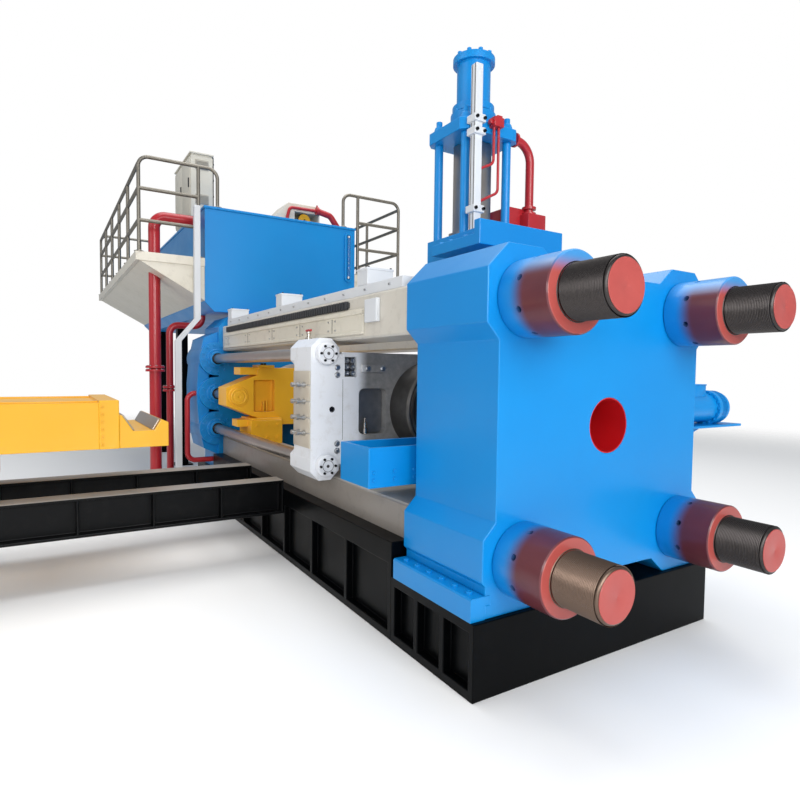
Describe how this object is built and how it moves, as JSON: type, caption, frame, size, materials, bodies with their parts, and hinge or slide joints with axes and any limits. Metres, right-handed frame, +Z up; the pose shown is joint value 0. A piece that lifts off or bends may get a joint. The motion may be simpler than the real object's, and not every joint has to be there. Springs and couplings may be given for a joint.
{
  "type": "horizontal extrusion press",
  "caption": "Horizontal hydraulic extrusion press with tie rods, sliding container and crosshead, shear tower, raised oil tank with platforms and a billet loader track.",
  "frame": {"origin": "on the floor under the middle of the front platen's outer face, on the underside of the base", "axes": "+X along the press axis the way the product leaves, +Z up"},
  "size_m": [10.45, 5.293, 4.39],
  "materials": {
    "frame_black": "satin black paint",
    "press_blue": "glossy blue enamel",
    "rod_steel": "threaded steel rod",
    "nut_red": "red primer paint",
    "sleeve_grey": "satin grey paint",
    "housing_white": "pale grey enamel",
    "tool_steel": "oiled tool steel",
    "ground_rod": "ground rod",
    "crosshead_yellow": "yellow enamel",
    "deck_cream": "cream paint",
    "rail_grey": "brushed tube",
    "cabinet_grey": "textured paint",
    "pipe_red": "red enamel",
    "tray_white": "white powder coat"
  },
  "bodies": {
    "frame": {"base_front": "frame_black", "base_rear": "frame_black", "base_girders": "frame_black", "base_cross_beams": "frame_black", "front_platen": "press_blue", "platen_keepers": "press_blue", "rear_platen": "press_blue", "tie_rods": "rod_steel", "front_nuts": "nut_red", "rear_nuts": "nut_red", "upper_sleeves": "sleeve_grey", "lower_sleeves": "sleeve_grey", "sleeve_cover": "deck_cream", "main_cylinder": "press_blue", "gland_rings": "press_blue", "cylinder_caps": "press_blue", "die_slide": "press_blue", "die_stack": "tool_steel", "die_motor": "press_blue", "shear_base": "press_blue", "shear_columns": "press_blue", "shear_plate": "press_blue", "shear_cylinder": "press_blue", "shear_rod": "ground_rod", "shear_gauge": "tray_white", "tank_saddle": "press_blue", "tank_shell": "press_blue", "tank_roof": "press_blue", "tank_stand": "frame_black", "level_gauge": "press_blue", "decks": "deck_cream", "railing_left": "rail_grey", "railing_right": "rail_grey", "railing_left_ends": "rail_grey", "railing_right_ends": "rail_grey", "cable_duct": "tray_white", "control_cabinet": "cabinet_grey", "valve_block": "deck_cream", "roof_pipe": "pipe_red", "suction_pipes": "pipe_red", "cable_tray": "tray_white", "junction_boxes": "tray_white", "loader_track": "frame_black", "loader_legs": "frame_black", "loader_carriage": "crosshead_yellow", "loader_arm": "crosshead_yellow", "loader_nose": "crosshead_yellow", "loader_plates": "ground_rod"},
    "container_body": {"container_housing": "housing_white", "holder_plates": "tool_steel", "container": "tool_steel", "container_rods": "ground_rod", "rod_caps": "housing_white"},
    "crosshead_body": {"crosshead": "crosshead_yellow", "crosshead_rods": "ground_rod", "main_ram": "ground_rod", "extrusion_stem": "tool_steel"}
  },
  "joints": [
    {"name": "container_slide", "type": "slide", "parent": "frame", "child": "container_body", "axis": [1, 0, 0], "range_m": [0, 0.33]},
    {"name": "crosshead_slide", "type": "slide", "parent": "frame", "child": "crosshead_body", "axis": [1, 0, 0], "range_m": [0, 0.4]}
  ]
}
